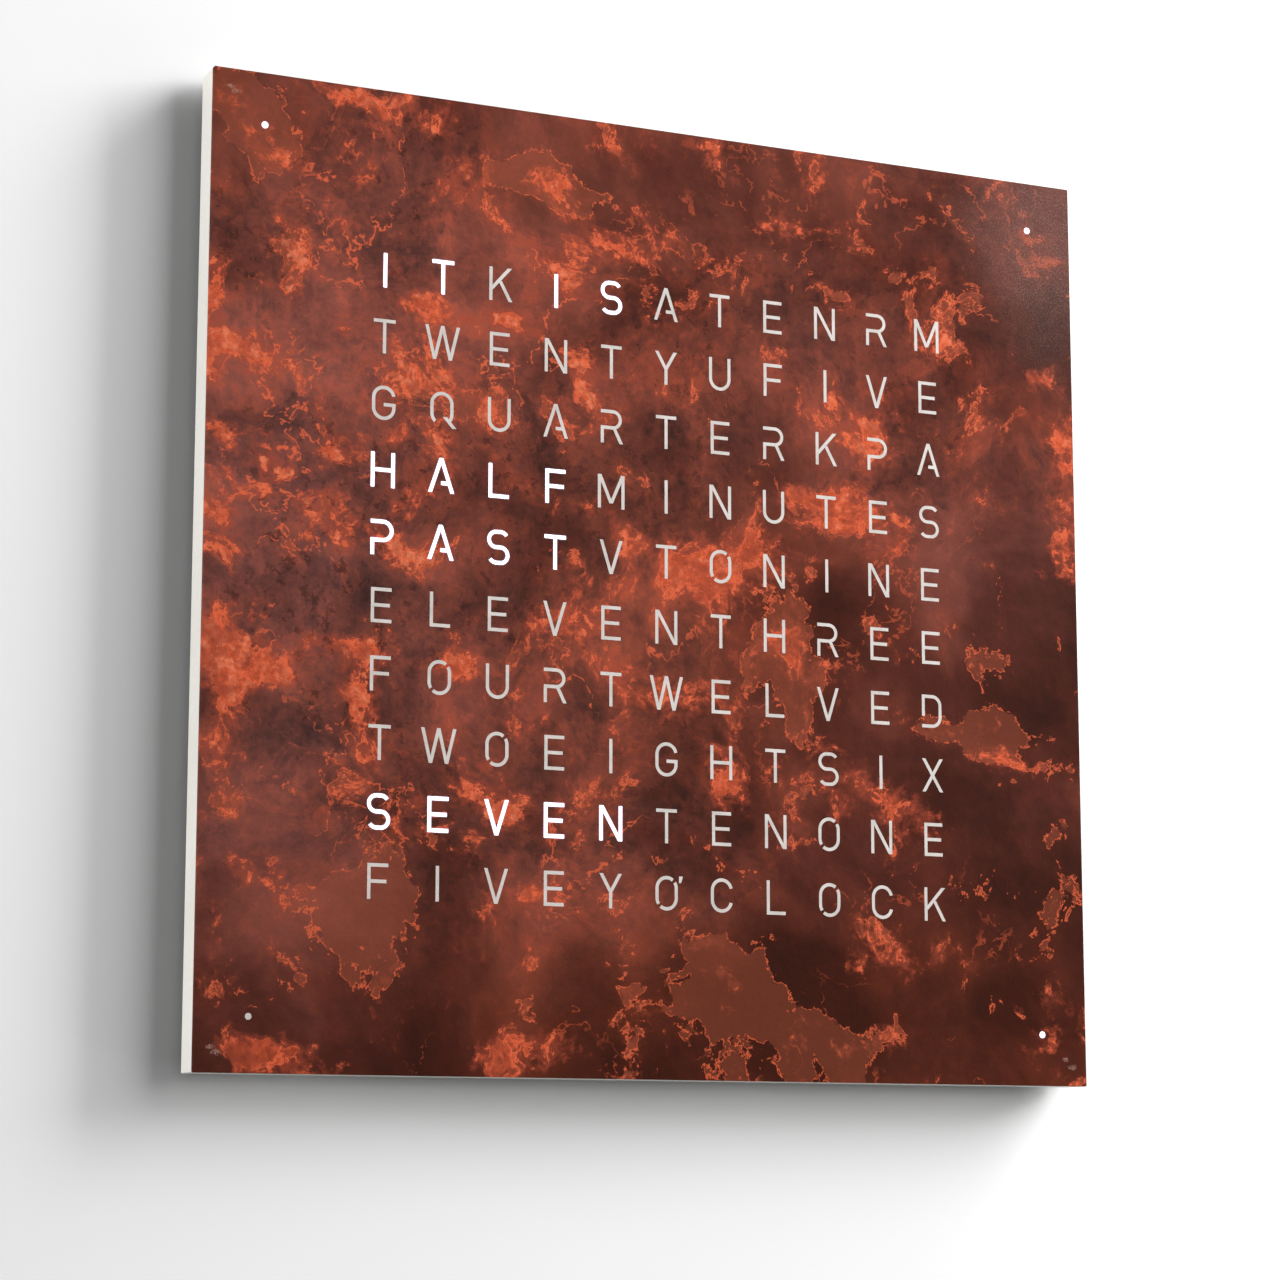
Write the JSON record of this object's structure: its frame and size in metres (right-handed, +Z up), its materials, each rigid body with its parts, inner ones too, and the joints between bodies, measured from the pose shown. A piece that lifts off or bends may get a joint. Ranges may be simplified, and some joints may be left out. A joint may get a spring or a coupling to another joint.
{
  "type": "word clock",
  "caption": "Square wall clock that tells the time in words: backlit stencil-cut letters and minute dots in a rusted steel face on a shallow white housing.",
  "frame": {"origin": "middle of the rear cover's flat back, in the plane of the wall", "axes": "+X to the viewer's right, +Y into the wall, +Z up; the lettered face looks towards -Y"},
  "size_m": [0.45, 0.0218, 0.45],
  "materials": {
    "rusted_steel": "rust patina, sealed, matt",
    "white_shell": "satin",
    "opal_sheet": "satin opal",
    "opal_resin": "cast opal resin, satin",
    "black_plastic": "fine moulded grain",
    "coated_sheet": "fine powder coat",
    "chassis_aluminium": "mill finish",
    "zinc_steel": "zinc plated",
    "hanger_steel": "plain",
    "nickel": "nickel plated",
    "brass": "plain",
    "led_board_white": "white solder mask",
    "board_green": "green solder mask",
    "chip_black": "moulded",
    "led_resin": "clear resin",
    "capacitor_tan": "moulded",
    "connector_cream": "moulded",
    "ribbon_grey": "flat cable",
    "lead_red": "flat cable",
    "window_clear": "clear light guide",
    "button_white": "satin",
    "plunger_red": "moulded"
  },
  "bodies": {
    "clock_body": {"housing": "white_shell", "stud_bushes": "black_plastic", "magnets": "nickel", "diffuser": "opal_sheet", "diffuser_posts": "zinc_steel", "diffuser_screws": "zinc_steel", "baffle_grid": "black_plastic", "minute_tubes": "black_plastic", "led_board_upper": "led_board_white", "led_board_lower": "led_board_white", "led_board_link": "connector_cream", "led_board_screws": "zinc_steel", "letter_leds": "led_resin", "minute_boards": "led_board_white", "minute_board_screws": "zinc_steel", "minute_leds": "led_resin", "minute_leads": "lead_red", "chassis_plate": "chassis_aluminium", "chassis_screws": "zinc_steel", "rear_cover": "coated_sheet", "rear_cover_screws": "zinc_steel", "hanger_plates": "hanger_steel", "hanger_rivets": "zinc_steel", "lead_well": "black_plastic", "lead_well_screws": "zinc_steel", "supply_socket": "black_plastic", "supply_pin": "brass", "control_board": "board_green", "control_posts": "brass", "control_screws": "zinc_steel", "microcontroller": "chip_black", "led_drivers": "chip_black", "supply_capacitors": "capacitor_tan", "clock_chip": "chip_black", "clock_crystal": "nickel", "backup_cell": "nickel", "cell_clip": "zinc_steel", "led_ribbon": "ribbon_grey", "ribbon_connectors": "connector_cream", "button_board": "board_green", "button_board_screws": "zinc_steel", "button_switches": "chip_black", "button_lead": "ribbon_grey", "sensor_board": "board_green", "sensor_board_screws": "zinc_steel", "light_sensor": "chip_black", "sensor_window": "window_clear", "sensor_lead": "ribbon_grey"},
    "cover": {"front_cover": "rusted_steel", "letter_inlays": "opal_resin", "cover_studs": "zinc_steel"},
    "hours_key": {"button_hours": "button_white", "plunger_hours": "plunger_red"},
    "minutes_key": {"button_minutes": "button_white", "plunger_minutes": "plunger_red"},
    "brightness_key": {"button_brightness": "button_white", "plunger_brightness": "plunger_red"},
    "mode_key": {"button_mode": "button_white", "plunger_mode": "plunger_red"}
  },
  "joints": [
    {"name": "cover_pull", "type": "slide", "parent": "clock_body", "child": "cover", "axis": [0, -1, 0], "range_m": [0, 0.06]},
    {"name": "hours_press", "type": "slide", "parent": "clock_body", "child": "hours_key", "axis": [0, 0, 1], "range_m": [0, 0.0006], "stiffness_N_per_m": 400, "springref_m": -0.002},
    {"name": "minutes_press", "type": "slide", "parent": "clock_body", "child": "minutes_key", "axis": [0, 0, 1], "range_m": [0, 0.0006], "stiffness_N_per_m": 400, "springref_m": -0.002},
    {"name": "brightness_press", "type": "slide", "parent": "clock_body", "child": "brightness_key", "axis": [0, 0, 1], "range_m": [0, 0.0006], "stiffness_N_per_m": 400, "springref_m": -0.002},
    {"name": "mode_press", "type": "slide", "parent": "clock_body", "child": "mode_key", "axis": [0, 0, 1], "range_m": [0, 0.0006], "stiffness_N_per_m": 400, "springref_m": -0.002}
  ]
}
